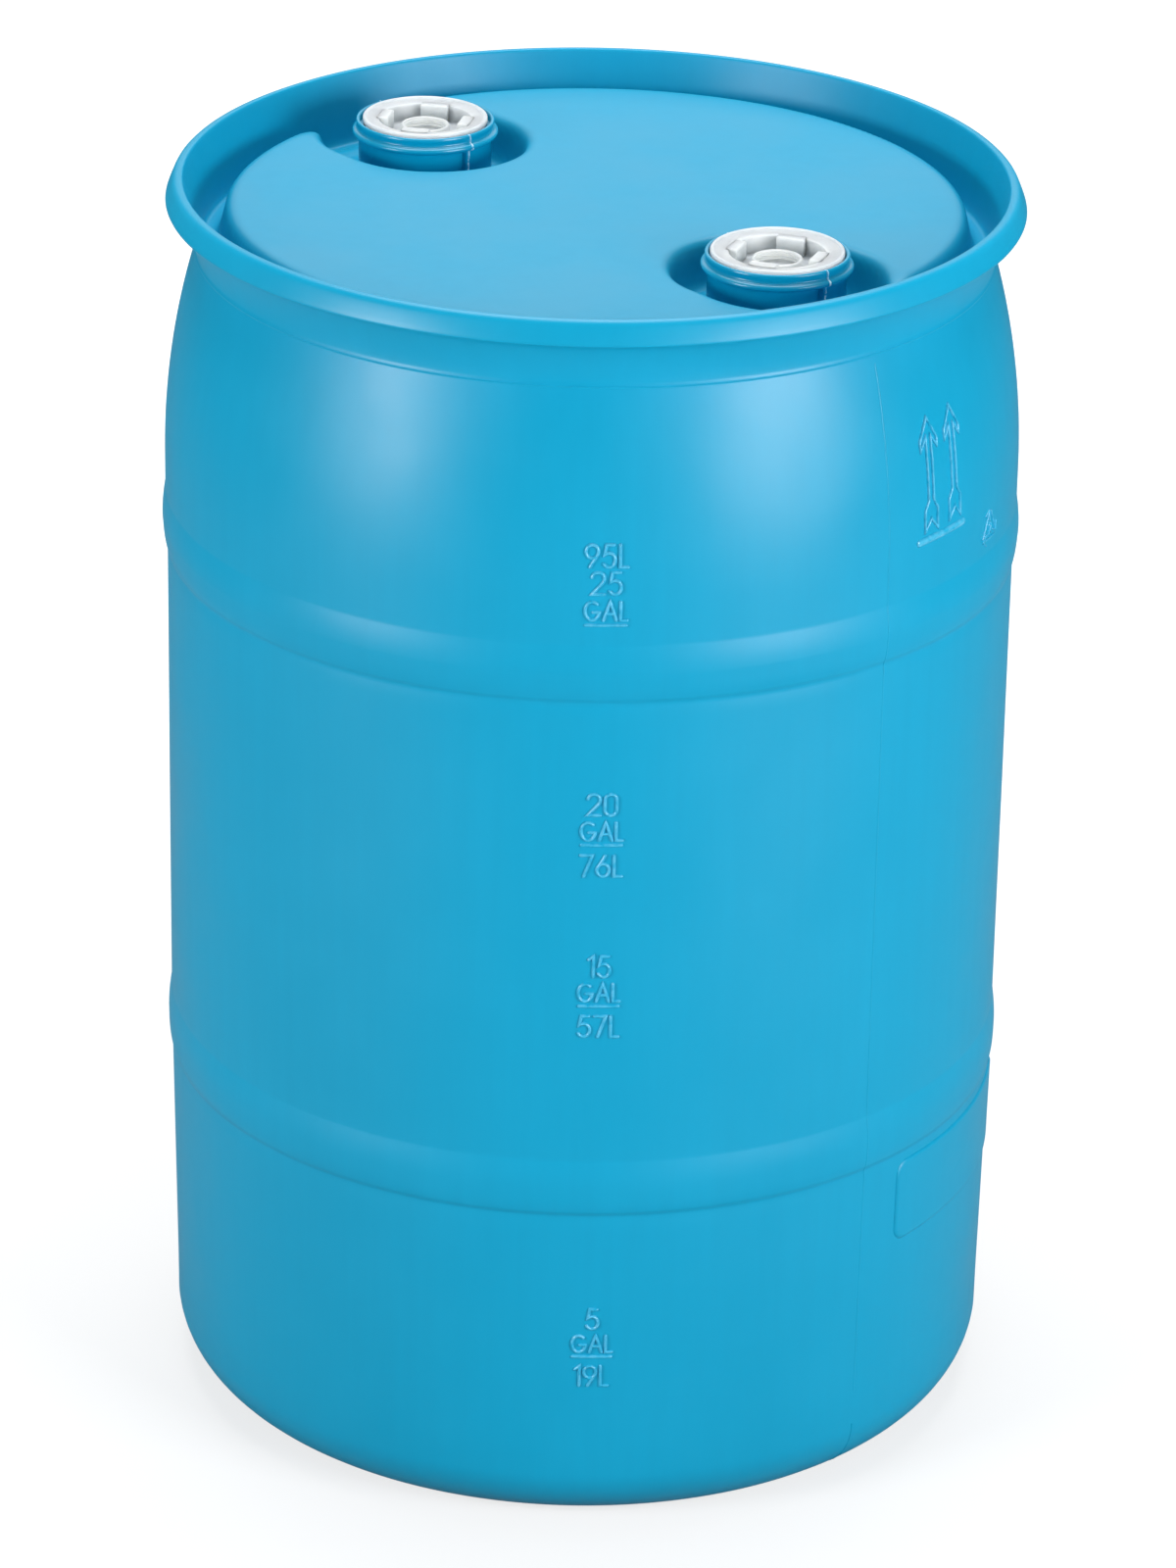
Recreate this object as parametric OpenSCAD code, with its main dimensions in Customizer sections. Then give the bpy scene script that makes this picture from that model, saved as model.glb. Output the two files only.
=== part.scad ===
// Tight-head plastic drum: blow-moulded body with an L-ring, two necks and two screw plugs.
// Millimetres, +Z up. The origin is the centre of the circle that the drum stands on.
// Azimuth is measured from +X towards +Y. The two necks lie on one line through the axis,
// which is also the mould's parting line.

/* [Drum] */
// Height from the ground to the top of the L-ring
drum_h = 738; // [720:1:760]
// Outer diameter of the L-ring's flange
ring_od = 485; // [480:1:490]
// Wall thickness of the blow-moulded body
wall = 4; // [3:0.5:5]

/* [Side wall] */
// Radius just above the base corner
foot_r = 240.5; // [238:0.5:242]
// Radius of the middle panel, between the ribs
panel_r = 243; // [241:0.5:244]
// Radius of the upper panel, between the upper rib and the shoulder
upper_r = 244; // [243:0.5:245]
// Height where the shoulder starts to curve in
shoulder_z = 575; // [565:1:585]
// Radius of the shoulder's curve, seen from the side
shoulder_arc = 415; // [400:5:450]

/* [Rolling ribs] */
// Height of the lower rib's centre
low_rib_z = 223; // [215:1:230]
// Height of the upper rib's centre
high_rib_z = 537; // [530:1:545]
// Width of a rib from edge to edge
rib_w = 34; // [28:1:40]
// How far a rib stands out
rib_out = 1.8; // [1:0.2:3]

/* [Base] */
// Radius of the rounded corner
corner_r = 40; // [34:1:42]
// Height of the seam between the base and the side wall
base_h = 60; // [50:1:70]
// Depth of the recess under the base
recess_h = 18; // [15:1:22]
// Width of the flat circle that the drum stands on
stand_w = 5; // [4:1:8]
// Radial run of the slope up to the recess
slope_w = 12; // [8:1:16]

/* [Head] */
// Height of the groove's floor and of the well floors
floor_z = 697; // [692:1:700]
// Height of the raised deck
deck_z = 723; // [719:1:726]
// Radius of the raised deck
deck_r = 211; // [209:1:213]
// Radius of each end of the oblong well round a neck
well_r = 52; // [50:1:54]
// How far the well's inner end lies from the neck's centre, towards the drum's axis
well_in = 7; // [5:1:9]
// How far the well's outer end lies from the neck's centre, towards the L-ring
well_out = 10; // [8:1:12]

/* [L-ring] */
// Height of the flange's sharp outer edge
flange_z = 725; // [723:1:727]
// Radius of the flange's top outer edge
flange_top_r = 237.6; // [237:0.2:239]
// Radius of the inner lip at the top
lip_r = 232.9; // [232:0.1:234]
// Radius of the inner wall at the groove's floor
ring_in_r = 223; // [222.6:0.1:224]

/* [Necks] */
// Distance from the axis to a neck's centre
neck_at_r = 148.5; // [146:0.5:150]
// Azimuth of the front neck in degrees; the rear neck is opposite
neck_az = -47.8; // [-50:0.1:-45]
// Outer radius of the neck
neck_r = 38.5; // [37:0.5:39]
// Outer radius of the lip
neck_lip_r = 40; // [39:0.5:41]
// Height of the lip's top
neck_lip_z = 734; // [733:0.5:735]
// Height of the seat that the gasket lies on
seat_z = 729; // [728:0.5:730]
// Radius of the counterbore round the plug's flange
counter_r = 37.8; // [37.5:0.1:38]
// Radius of the bead that a tamper cap snaps over
bead_r = 42.2; // [41:0.2:43]
// Height of the bead's centre
bead_z = 726.5; // [725:0.5:727]
// Thread crest radius in the front neck, 2 inch buttress
front_bore_r = 31; // [30.5:0.1:31.2]
// Thread crest radius in the rear neck, 2 inch pipe thread
rear_bore_r = 30; // [29.5:0.1:30.5]

/* [Plugs and gaskets] */
// Height of the plugs' top faces
plug_z = 735.5; // [734.5:0.5:736]
// Flange radius of the front plug
front_flange_r = 37; // [36.5:0.1:37.2]
// Flange radius of the rear plug
rear_flange_r = 36; // [35.5:0.1:36.5]
// Thickness of a plug's flange
flange_t = 4; // [3:0.5:4.5]
// Length of a plug's threaded shank under the flange
shank_l = 20.5; // [18:0.5:22]
// Wall thickness of the shank's skirt
skirt_t = 4; // [3:0.5:5]
// Radial clearance between a shank and its neck
thread_gap = 0.3; // [0.2:0.1:0.5]
// Radius of the recess that the bung wrench enters
cup_r = 26.5; // [25:0.5:27]
// Depth of that recess
cup_h = 11; // [9:0.5:12]
// Thickness of the web under the recess
web_t = 3; // [2:0.5:4]
// Number of wrench lugs
lugs = 4; // [2:1:6]
// Width of a wrench lug
lug_w = 16; // [10:1:18]
// Radius of the circle that the lugs' inner faces touch
lug_in_r = 20.5; // [18:0.5:23]
// How far the lugs stop below the plug's top
lug_drop = 1; // [0.5:0.5:3]
// Azimuth of the front plug's first lug
front_lug_az = 70; // [0:1:90]
// Azimuth of the rear plug's first lug
rear_lug_az = 78; // [0:1:90]
// Bore radius of the 3/4 inch knock-out collar
knock_r = 12.05; // [11.8:0.05:12.2]
// Wall thickness of the collar
knock_t = 2.2; // [1.5:0.1:3]
// Height of the collar above the web
knock_h = 6; // [5:0.5:7]
// Gap between a gasket's hole and the shank in it
gasket_gap = 0.3; // [0.2:0.1:0.5]

/* [Hidden] */

blue = "#0AA0D6";
pale_blue = "#5BC0E8";
natural = "#E4E3DF";
black = "#26282A";

ring_r = ring_od / 2;
standing_r = foot_r - corner_r;
slope_r = standing_r - stand_w;
panel_edge_r = slope_r - slope_w;
rib_fade = 14;          // height over which the middle panel widens to the upper panel
neck_flare_z = flange_z - 4;
flange_t_in = 13;       // radial width of the flange's underside beyond the ring's neck
gasket_z = plug_z - flange_t;
quarter = [0 : 9 : 90]; // steps round a rounded corner
fine = 180;             // facets that only the preview uses

// Outer radius of the side wall at height z, without the ribs
function wall_r(z) =
    z <= low_rib_z ? foot_r + (panel_r - foot_r) * (z - base_h) / (low_rib_z - base_h)
    : z <= high_rib_z - rib_fade ? panel_r
    : z <= high_rib_z ? panel_r + (upper_r - panel_r) * (z - high_rib_z + rib_fade) / rib_fade
    : z <= shoulder_z ? upper_r
    : upper_r - shoulder_arc + sqrt(pow(shoulder_arc, 2) - pow(z - shoulder_z, 2));

// How far a rib centred at height c stands out at height z
function rib(z, c) = abs(z - c) < rib_w / 2 ? rib_out * cos(180 * (z - c) / rib_w) : 0;

function outer_r(z) = wall_r(z) + rib(z, low_rib_z) + rib(z, high_rib_z);

function rib_steps(c) = [for (k = [-4 : 4]) c + k * rib_w / 8];

wall_zs = concat([base_h, 140], rib_steps(low_rib_z), [300, 420], rib_steps(high_rib_z),
                 [shoulder_z], [for (k = [1 : 8]) shoulder_z + k * (floor_z - shoulder_z) / 8]);
wall_top_r = wall_r(floor_z);
head_r = wall_top_r - wall;

module side_wall() {
    outside = [for (z = wall_zs) [outer_r(z), z]];
    inside = [for (k = [len(wall_zs) - 2 : -1 : 0]) [wall_r(wall_zs[k]) - wall, wall_zs[k]]];
    color(blue)
    rotate_extrude($fn = fine)
    polygon(concat(outside, [[head_r, floor_z], [head_r, floor_z - wall - 2]], inside));
}

// Base: the rounded corner, the circle the drum stands on and the slope up to the recess
module base_corner() {
    outside = [for (a = quarter) [standing_r + corner_r * sin(a), corner_r - corner_r * cos(a)]];
    inner_r = corner_r - wall;
    inside = [for (a = quarter) [standing_r + inner_r * cos(a), corner_r - inner_r * sin(a)]];
    color(blue)
    rotate_extrude($fn = fine)
    polygon(concat([[panel_edge_r, recess_h], [slope_r, 0]], outside,
                   [[foot_r, base_h], [foot_r - wall, base_h]], inside,
                   [[slope_r + 2, wall], [panel_edge_r, recess_h + wall]]));
}

module base_panel() {
    color(blue)
    translate([0, 0, recess_h])
    cylinder(r = panel_edge_r, h = wall, $fn = fine);
}

// Places its children at the front neck's centre or, with side = -1, at the rear neck's
module at_neck(side) {
    rotate(neck_az) translate([side * neck_at_r, 0, 0]) rotate(-neck_az) children();
}

module neck_holes() {
    for (side = [1, -1]) at_neck(side) circle(r = neck_r, $fn = fine);
}

// Plan of the two oblong wells, which run from near the axis out towards the L-ring
module wells_plan(r) {
    for (side = [0, 180]) rotate(neck_az + side) {
        translate([neck_at_r - well_in, 0, 0]) circle(r = r, $fn = fine);
        translate([neck_at_r + well_out, 0, 0]) circle(r = r, $fn = fine);
        translate([neck_at_r - well_in, -r, 0]) square([well_in + well_out, 2 * r]);
    }
}

// Plan of the raised deck: a disc with the two wells bitten out of its edge
module deck_plan(inset) {
    difference() {
        circle(r = deck_r - inset, $fn = fine);
        wells_plan(well_r + inset);
    }
}

module head_floor() {
    color(blue)
    translate([0, 0, floor_z - wall])
    linear_extrude(wall)
    difference() {
        circle(r = head_r, $fn = fine);
        deck_plan(wall);
        neck_holes();
    }
}

module head_riser() {
    color(blue)
    translate([0, 0, floor_z])
    linear_extrude(deck_z - wall - floor_z)
    difference() {
        deck_plan(0);
        deck_plan(wall);
    }
}

module head_deck() {
    color(pale_blue)
    translate([0, 0, deck_z - wall])
    linear_extrude(wall)
    deck_plan(0);
}

// Radius of the L-ring's inner wall at height z
function ring_inner(z) = ring_in_r + (lip_r - ring_in_r) * (z - floor_z) / (drum_h - floor_z);

module l_ring_neck() {
    foot = floor_z;
    waist = foot + 8;
    color(blue)
    rotate_extrude($fn = fine)
    polygon([[head_r, foot], [wall_top_r, foot], [wall_top_r + 0.8, waist],
             [ring_inner(neck_flare_z) + wall, neck_flare_z - 3],
             [ring_r - flange_t_in + 6, flange_z - 1], [ring_inner(flange_z - 1), flange_z - 1],
             [ring_inner(foot + 2), foot + 2]]);
}

module l_ring_flange() {
    color(blue)
    rotate_extrude($fn = fine)
    polygon([[ring_inner(flange_z - 1), flange_z - 1], [ring_r - flange_t_in + 6, flange_z - 1],
             [ring_r, flange_z], [ring_r - 1.6, flange_z + 5], [flange_top_r + 1.2, drum_h - 2.6],
             [flange_top_r - 0.2, drum_h - 0.8], [flange_top_r - 2, drum_h], [lip_r, drum_h]]);
}

// A neck: a tube from the well floor up, with a bead and a counterbored lip
module neck(bore_r) {
    bead_h = 5;
    difference() {
        union() {
            translate([0, 0, floor_z - wall])
            cylinder(r = neck_r, h = neck_lip_z - floor_z + wall, $fn = fine);
            translate([0, 0, seat_z])
            cylinder(r = neck_lip_r, h = neck_lip_z - seat_z, $fn = fine);
            translate([0, 0, bead_z])
            rotate_extrude($fn = fine)
            polygon([[neck_r - 1, -bead_h / 2 - 0.5], [bead_r - 0.6, -bead_h / 2],
                     [bead_r, -bead_h / 2 + 1], [bead_r, 0], [bead_r - 1.6, bead_h / 2],
                     [neck_r - 1, bead_h / 2 + 0.5]]);
        }
        translate([0, 0, floor_z - wall - 1])
        cylinder(r = bore_r, h = drum_h - floor_z + wall, $fn = fine);
        translate([0, 0, seat_z])
        cylinder(r = counter_r, h = drum_h - seat_z, $fn = fine);
    }
}

module front_neck() {
    color(blue) at_neck(1) neck(front_bore_r);
}

module rear_neck() {
    color(blue) at_neck(-1) neck(rear_bore_r);
}

module gasket(bore_r, flange_r) {
    hole_r = bore_r - thread_gap + gasket_gap;
    translate([0, 0, seat_z])
    difference() {
        cylinder(r = flange_r - 0.5, h = gasket_z - seat_z, $fn = fine);
        translate([0, 0, -1])
        cylinder(r = hole_r, h = gasket_z - seat_z + 2, $fn = fine);
    }
}

module front_gasket() {
    color(black) at_neck(1) gasket(front_bore_r, front_flange_r);
}

module rear_gasket() {
    color(black) at_neck(-1) gasket(rear_bore_r, rear_flange_r);
}

// A screw plug: flange, skirt, cup for the wrench with its lugs, and the knock-out collar
module plug(bore_r, flange_r, lug_az) {
    shank_r = bore_r - thread_gap;
    web_z = plug_z - cup_h - web_t;
    foot_z = gasket_z - shank_l;
    difference() {
        union() {
            translate([0, 0, gasket_z])
            cylinder(r = flange_r, h = flange_t, $fn = fine);
            translate([0, 0, foot_z])
            cylinder(r = shank_r, h = shank_l, $fn = fine);
        }
        translate([0, 0, plug_z - cup_h])
        cylinder(r = cup_r, h = cup_h + 1, $fn = fine);
        translate([0, 0, foot_z - 1])
        cylinder(r = shank_r - skirt_t, h = web_z - foot_z + 1, $fn = fine);
    }
    intersection() {
        translate([0, 0, plug_z - cup_h])
        difference() {
            cylinder(r = cup_r, h = cup_h - lug_drop, $fn = fine);
            cylinder(r = lug_in_r, h = cup_h, $fn = fine);
        }
        for (k = [0 : lugs - 1])
            rotate(lug_az + k * 360 / lugs)
            translate([0, -lug_w / 2, 0])
            cube([cup_r + 1, lug_w, drum_h]);
    }
    translate([0, 0, plug_z - cup_h])
    difference() {
        cylinder(r = knock_r + knock_t, h = knock_h, $fn = fine);
        cylinder(r = knock_r, h = knock_h + 1, $fn = fine);
    }
}

module front_plug() {
    color(natural) at_neck(1) plug(front_bore_r, front_flange_r, front_lug_az);
}

module rear_plug() {
    color(natural) at_neck(-1) plug(rear_bore_r, rear_flange_r, rear_lug_az);
}

side_wall();
base_corner();
base_panel();
head_floor();
head_riser();
head_deck();
l_ring_neck();
l_ring_flange();
front_neck();
rear_neck();
front_gasket();
rear_gasket();
front_plug();
rear_plug();
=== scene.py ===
"""Closed-head plastic drum: the moulded shell, its raised marks, two screw plugs and gaskets.

Lengths are metres in the drum's own frame, +Z up, with the origin where the drum stands.
Azimuth is measured from +X towards +Y. Both necks lie on the mould's parting plane.
"""

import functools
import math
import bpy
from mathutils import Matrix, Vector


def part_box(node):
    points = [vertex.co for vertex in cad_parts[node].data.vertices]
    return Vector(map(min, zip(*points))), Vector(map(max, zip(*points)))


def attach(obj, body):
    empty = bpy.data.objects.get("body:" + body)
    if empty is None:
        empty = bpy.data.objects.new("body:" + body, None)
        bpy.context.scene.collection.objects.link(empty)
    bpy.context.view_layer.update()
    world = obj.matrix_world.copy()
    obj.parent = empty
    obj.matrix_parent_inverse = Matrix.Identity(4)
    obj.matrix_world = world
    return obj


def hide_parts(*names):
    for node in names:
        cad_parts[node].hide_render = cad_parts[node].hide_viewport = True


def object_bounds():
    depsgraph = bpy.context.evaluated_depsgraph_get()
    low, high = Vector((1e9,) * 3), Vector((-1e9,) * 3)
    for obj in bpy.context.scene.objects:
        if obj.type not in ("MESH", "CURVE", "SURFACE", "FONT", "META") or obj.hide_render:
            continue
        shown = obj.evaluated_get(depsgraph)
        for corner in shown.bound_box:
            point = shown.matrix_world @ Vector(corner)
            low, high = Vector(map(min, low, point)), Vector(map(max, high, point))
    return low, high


bl_info = {
    "name": "Closed-head plastic drum",
    "version": (1, 0, 0),
    "blender": (4, 5, 0),
    "location": "3D View > Sidebar > Drum",
    "description": "Moulded drum shell, raised marks, screw plugs, gaskets and a plain studio",
    "category": "Object",
}

import bmesh
import bpy
import numpy as np
from bpy.props import FloatProperty, FloatVectorProperty, IntProperty, PointerProperty
from mathutils import Matrix, Vector, noise
from mathutils.geometry import delaunay_2d_cdt

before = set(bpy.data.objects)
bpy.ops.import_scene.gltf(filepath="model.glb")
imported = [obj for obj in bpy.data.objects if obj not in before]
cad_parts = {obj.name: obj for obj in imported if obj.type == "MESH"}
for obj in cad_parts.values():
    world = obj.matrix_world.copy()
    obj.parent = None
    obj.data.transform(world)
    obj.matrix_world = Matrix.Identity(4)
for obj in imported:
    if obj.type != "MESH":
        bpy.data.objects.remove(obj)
CAD_LO, CAD_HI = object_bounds()

MM = 0.001
DRUM = "drum"
SHELL_NODES = ("side_wall", "base_corner", "base_panel", "head_floor", "head_riser",
               "head_deck", "l_ring_neck", "l_ring_flange", "front_neck", "rear_neck")
AROUND = 288        # columns round the drum
NECK_AROUND = 180   # columns round a neck or a plug
WELD = 1e-6         # points closer than this are one point
RIPPLE_ROUND = 2.2  # the wall's unevenness: noise cells per radian round the drum
RIPPLE_UP = 7       # and per metre of height


@functools.cache
def box_of(node):
    """The low and high corners of a CAD node's box."""
    low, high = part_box(node)
    return low.copy(), high.copy()


def radius_of(node):
    """Half the width of a round CAD node."""
    low, high = box_of(node)
    return (high.x - low.x) / 2


def centre_of(node):
    """Where a CAD node's middle lies, seen from above."""
    low, high = box_of(node)
    return Vector(((low.x + high.x) / 2, (low.y + high.y) / 2))


def bottom_of(node):
    return box_of(node)[0].z


def top_of(node):
    return box_of(node)[1].z


NECKS = {"front": centre_of("front_neck"), "rear": centre_of("rear_neck")}
PARTING = math.atan2(NECKS["front"].y, NECKS["front"].x)  # azimuth of the parting plane
PARTING_SIDES = (PARTING, PARTING + math.pi)
NECK_FOOT = top_of("head_floor") + 3 * MM
PATCH_RADIUS = 70 * MM    # the head round a neck is a patch of rings this wide


# Settings ------------------------------------------------------------------------------------


def length(name, description, default):
    return FloatProperty(name=name, description=description, default=default, unit="LENGTH",
                         precision=5)


def angle(name, description, degrees):
    return FloatProperty(name=name, description=description, default=math.radians(degrees),
                         subtype="ANGLE")


def amount(name, description, default, low=0.0, high=1.0):
    return FloatProperty(name=name, description=description, default=default, min=low, max=high)


def rgb(hex_colour):
    """Linear RGB of an sRGB hex value such as '#0AA0D6'."""
    values = [int(hex_colour[i:i + 2], 16) / 255 for i in (1, 3, 5)]
    return [v / 12.92 if v <= 0.04045 else ((v + 0.055) / 1.055) ** 2.4 for v in values]


def colour(name, description, hex_colour):
    return FloatVectorProperty(name=name, description=description, default=rgb(hex_colour),
                               subtype="COLOR", size=3, min=0, max=1)


class ShellSettings(bpy.types.PropertyGroup):
    """Sizes of the moulded shell."""
    wall: length("Wall", "Thickness of the wall", top_of("head_deck") - bottom_of("head_deck"))
    foot_radius: length("Foot radius", "Radius just above the base corner",
                        radius_of("base_corner"))
    panel_radius: length("Panel radius", "Radius between the ribs", 243 * MM)
    upper_radius: length("Upper radius", "Radius above the upper rib", 244 * MM)
    shoulder_z: length("Shoulder height", "Where the shoulder starts to curve in", 575 * MM)
    shoulder_arc: length("Shoulder arc", "Radius of the shoulder's curve", 415 * MM)
    low_rib_z: length("Lower rib", "Height of the lower rib's middle", 223 * MM)
    high_rib_z: length("Upper rib", "Height of the upper rib's middle", 537 * MM)
    rib_width: length("Rib width", "Width of a rib", 34 * MM)
    rib_out: length("Rib height", "How far a rib stands out", 1.8 * MM)
    corner: length("Corner radius", "Radius of the rounded base corner", 40 * MM)
    ripple: length("Ripple", "Depth of the wall's slow unevenness", 0.12 * MM)


class HeadSettings(bpy.types.PropertyGroup):
    """Sizes of the top head, its wells and the L-ring."""
    deck_radius: length("Deck radius", "Radius of the raised deck", radius_of("head_deck"))
    well_radius: length("Well radius", "Radius of each end of a well", 52 * MM)
    well_in: length("Well inward", "Reach of the well towards the axis", 7 * MM)
    well_out: length("Well outward", "Reach of the well towards the L-ring", 10 * MM)
    top_round: length("Edge rounding", "Rounding along the deck's edge", 7 * MM)
    foot_round: length("Floor rounding", "Rounding along the groove's floor", 6 * MM)
    draft: angle("Wall angle", "Slope of the walls of the groove and wells", 78)
    lip_radius: length("Lip radius", "Radius of the L-ring's inner lip", 232.9 * MM)
    slot_depth: length("Slot depth", "Depth of the parting slot in a neck", 2.8 * MM)


class MarkSettings(bpy.types.PropertyGroup):
    """Sizes of the raised marks."""
    relief: length("Relief", "How far a mark stands out of the wall", 1.15 * MM)
    stroke: length("Stroke", "Width of a mark's stroke", 2.0 * MM)
    level_azimuth: angle("Azimuth", "Where the column of level marks stands", -87.8)
    figure_height: length("Figure height", "Height of the level figures", 12.6 * MM)
    arrows_azimuth: angle("Arrows azimuth", "Where the upright arrows stand", -37.2)
    loop_azimuth: angle("Loop azimuth", "Where the recycling loop stands", -24)
    loop_z: length("Loop height", "Height of the recycling loop's middle", 569 * MM)
    pad_azimuth: angle("Pad azimuth", "Where the plain pad's middle stands", -22)
    flash: length("Flash", "How far the parting line's flash stands out", 0.12 * MM)


class PlugSettings(bpy.types.PropertyGroup):
    """Sizes of the screw plugs."""
    cup_radius: length("Cup radius", "Radius of the wrench recess", 26.5 * MM)
    cup_depth: length("Cup depth", "Depth of the wrench recess", 11 * MM)
    web: length("Web", "Thickness under the recess", 3 * MM)
    skirt: length("Skirt", "Wall of the threaded skirt", 4 * MM)
    lug_width: length("Lug width", "Width of a wrench lug", 16 * MM)
    lug_reach: length("Lug radius", "Radius that the lugs' inner faces touch", 20.5 * MM)
    lug_count: IntProperty(name="Lugs", description="Number of wrench lugs", default=4, min=2)
    front_turn: angle("Front plug turn", "Azimuth of the front plug's first lug", 70)
    rear_turn: angle("Rear plug turn", "Azimuth of the rear plug's first lug", 78)
    front_pitch: length("Front pitch", "Pitch of the buttress thread", 25.4 * MM / 5)
    rear_pitch: length("Rear pitch", "Pitch of the pipe thread", 25.4 * MM / 11.5)
    knock_radius: length("Knock-out radius", "Bore of the knock-out collar", 12.05 * MM)


class FinishSettings(bpy.types.PropertyGroup):
    """Colours and gloss."""
    shell: colour("Shell", "Pigmented polyethylene", "#0094BB")
    # Paler blue painted on the raised marks as a highlight
    mark_painted_highlight: colour("Mark highlight", "Raised marks painted paler as a highlight", "#52B2D6")
    # Milky white with a painted blue tint: light bounced from the blue drum, painted into the
    # colour
    plug: colour("Plug", "Natural polyethylene with painted blue bounce light", "#C9D0D2")
    flash: colour("Flash", "Whitened edge of a cut", "#B9DDEC")
    gasket: colour("Gasket", "Black EPDM rubber", "#1C1D1F")
    floor: colour("Floor", "Studio floor", "#FFFFFF")
    # Painted glow of the floor by the drum, seen only by the camera; it rises to full glow further
    # out
    painted_glow_near_drum: amount("Painted glow near drum", "Painted glow of the floor beside the drum, seen only by the camera", 0.7, high=5)
    shell_gloss: amount("Shell roughness", "Roughness of the moulded shell", 0.39)


class StudioSettings(bpy.types.PropertyGroup):
    """Camera and lights."""
    elevation: angle("Elevation", "Camera's height over the horizon", 24.0)
    roll: angle("Roll", "Camera's roll", 1.05)
    distance: length("Distance", "Camera's distance from the drum's middle", 3.88)
    lens: FloatProperty(name="Lens", description="Focal length in millimetres", default=152.2)
    shift_x: amount("Shift across", "Shift of the frame, in frame widths", 0.0014, low=-1)
    shift_y: amount("Shift up", "Shift of the frame, in frame widths", -0.0059, low=-1)
    fill: amount("Fill", "Strength of the light from all round", 0.17, high=10)
    key: amount("Key", "Power of a soft box of share one, in watts", 40, high=1000)


SETTINGS = {"drum_shell": ShellSettings, "drum_head": HeadSettings, "drum_marks": MarkSettings,
            "drum_plugs": PlugSettings, "drum_finish": FinishSettings,
            "drum_studio": StudioSettings}


# Meshes --------------------------------------------------------------------------------------


def add_object(name, data):
    thing = bpy.data.objects.new(name, data)
    bpy.context.scene.collection.objects.link(thing)
    return thing


class Skin:
    """Points and faces gathered for one mesh."""

    def __init__(self):
        self.points = []
        self.faces = []

    def add(self, points, faces):
        first = len(self.points)
        self.points += points
        self.faces += [[first + i for i in face] for face in faces]

    def rings(self, rings):
        """Joins closed rings, each with the same number of points, one after another."""
        n = len(rings[0])
        faces = [(k * n + j, k * n + (j + 1) % n, (k + 1) * n + (j + 1) % n, (k + 1) * n + j)
                 for k in range(len(rings) - 1) for j in range(n)]
        self.add([p for ring in rings for p in ring], faces)

    def bar(self, sections, closed=False):
        """Joins closed sections along a path; closed joins the ends, otherwise they are capped."""
        self.rings(sections + sections[:1] if closed else sections)
        if not closed:
            for end in (sections[0], sections[-1]):
                self.add(end, [range(len(end))])

    def build(self, name, material, body, slot, sharp=math.radians(38)):
        """Makes the object, welded, smooth and with its outside facing out."""
        mesh = bpy.data.meshes.new(name)
        mesh.from_pydata(self.points, [], self.faces)
        form = bmesh.new()
        form.from_mesh(mesh)
        bmesh.ops.remove_doubles(form, verts=form.verts, dist=WELD)
        bmesh.ops.dissolve_degenerate(form, edges=form.edges, dist=WELD)
        bmesh.ops.recalc_face_normals(form, faces=form.faces)
        form.to_mesh(mesh)
        form.free()
        mesh.shade_smooth()
        mesh.set_sharp_from_angle(angle=sharp)
        mesh.materials.append(material)
        thing = add_object(name, mesh)
        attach(thing, body)
        return thing


def turned(profile, count, centre=(0, 0), start=0.0):
    """Rings of points: profile's (radius, height) pairs turned about a vertical axis."""
    turns = [start + 2 * math.pi * j / count for j in range(count)]
    return [[(centre[0] + r * math.cos(a), centre[1] + r * math.sin(a), z) for a in turns]
            for r, z in profile]


def arc(centre_r, centre_z, radius, start, end, steps):
    """Points of an arc in a profile; degrees, 0 pointing outward and 90 up."""
    turns = [math.radians(start + (end - start) * k / steps) for k in range(steps + 1)]
    return [(centre_r + radius * math.cos(a), centre_z + radius * math.sin(a)) for a in turns]


def millimetres(*pairs):
    return [(r * MM, z * MM) for r, z in pairs]


def thread(low, high, pitch, root, crest, form, start, count=NECK_AROUND, fade=3 * MM):
    """Wall of a right-hand thread. form lists (share of the pitch, share of the depth)."""
    turns = int((high - low) / pitch) + 2
    shares = [(k + phase, depth) for k in range(-2, turns) for phase, depth in form]
    points = []
    for share, depth in shares:
        for j in range(count):
            a = 2 * math.pi * j / count
            z = min(max(low + pitch * (share + j / count), low), high)
            ease = min((z - low) / fade, (high - z) / fade, 1)
            r = root + (crest - root) * depth * ease
            points.append((r * math.cos(start + a), r * math.sin(start + a), z))
    step = len(form)
    faces = []
    for k in range(len(shares) - 1):
        for j in range(count):
            if j < count - 1:
                right, above = k * count + j + 1, (k + 1) * count + j + 1
            else:
                last = len(shares) - 1
                right = min(k + step, last) * count
                above = min(k + 1 + step, last) * count
            faces.append((k * count + j, right, above, (k + 1) * count + j))
    return points, faces


def moved(points, x, y):
    return [(p[0] + x, p[1] + y, p[2]) for p in points]


# Shape of the shell --------------------------------------------------------------------------


def side_radius(shell, z):
    """Outer radius of the side wall at height z, without its ribs."""
    base_h = top_of("base_corner")
    widen_from = shell.high_rib_z - 14 * MM
    if z <= shell.low_rib_z:
        share = (z - base_h) / (shell.low_rib_z - base_h)
        return shell.foot_radius + (shell.panel_radius - shell.foot_radius) * share
    if z <= widen_from:
        return shell.panel_radius
    if z <= shell.high_rib_z:
        share = (z - widen_from) / (shell.high_rib_z - widen_from)
        return shell.panel_radius + (shell.upper_radius - shell.panel_radius) * share
    if z <= shell.shoulder_z:
        return shell.upper_radius
    rise = z - shell.shoulder_z
    return shell.upper_radius - shell.shoulder_arc + math.sqrt(shell.shoulder_arc ** 2 - rise ** 2)


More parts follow.
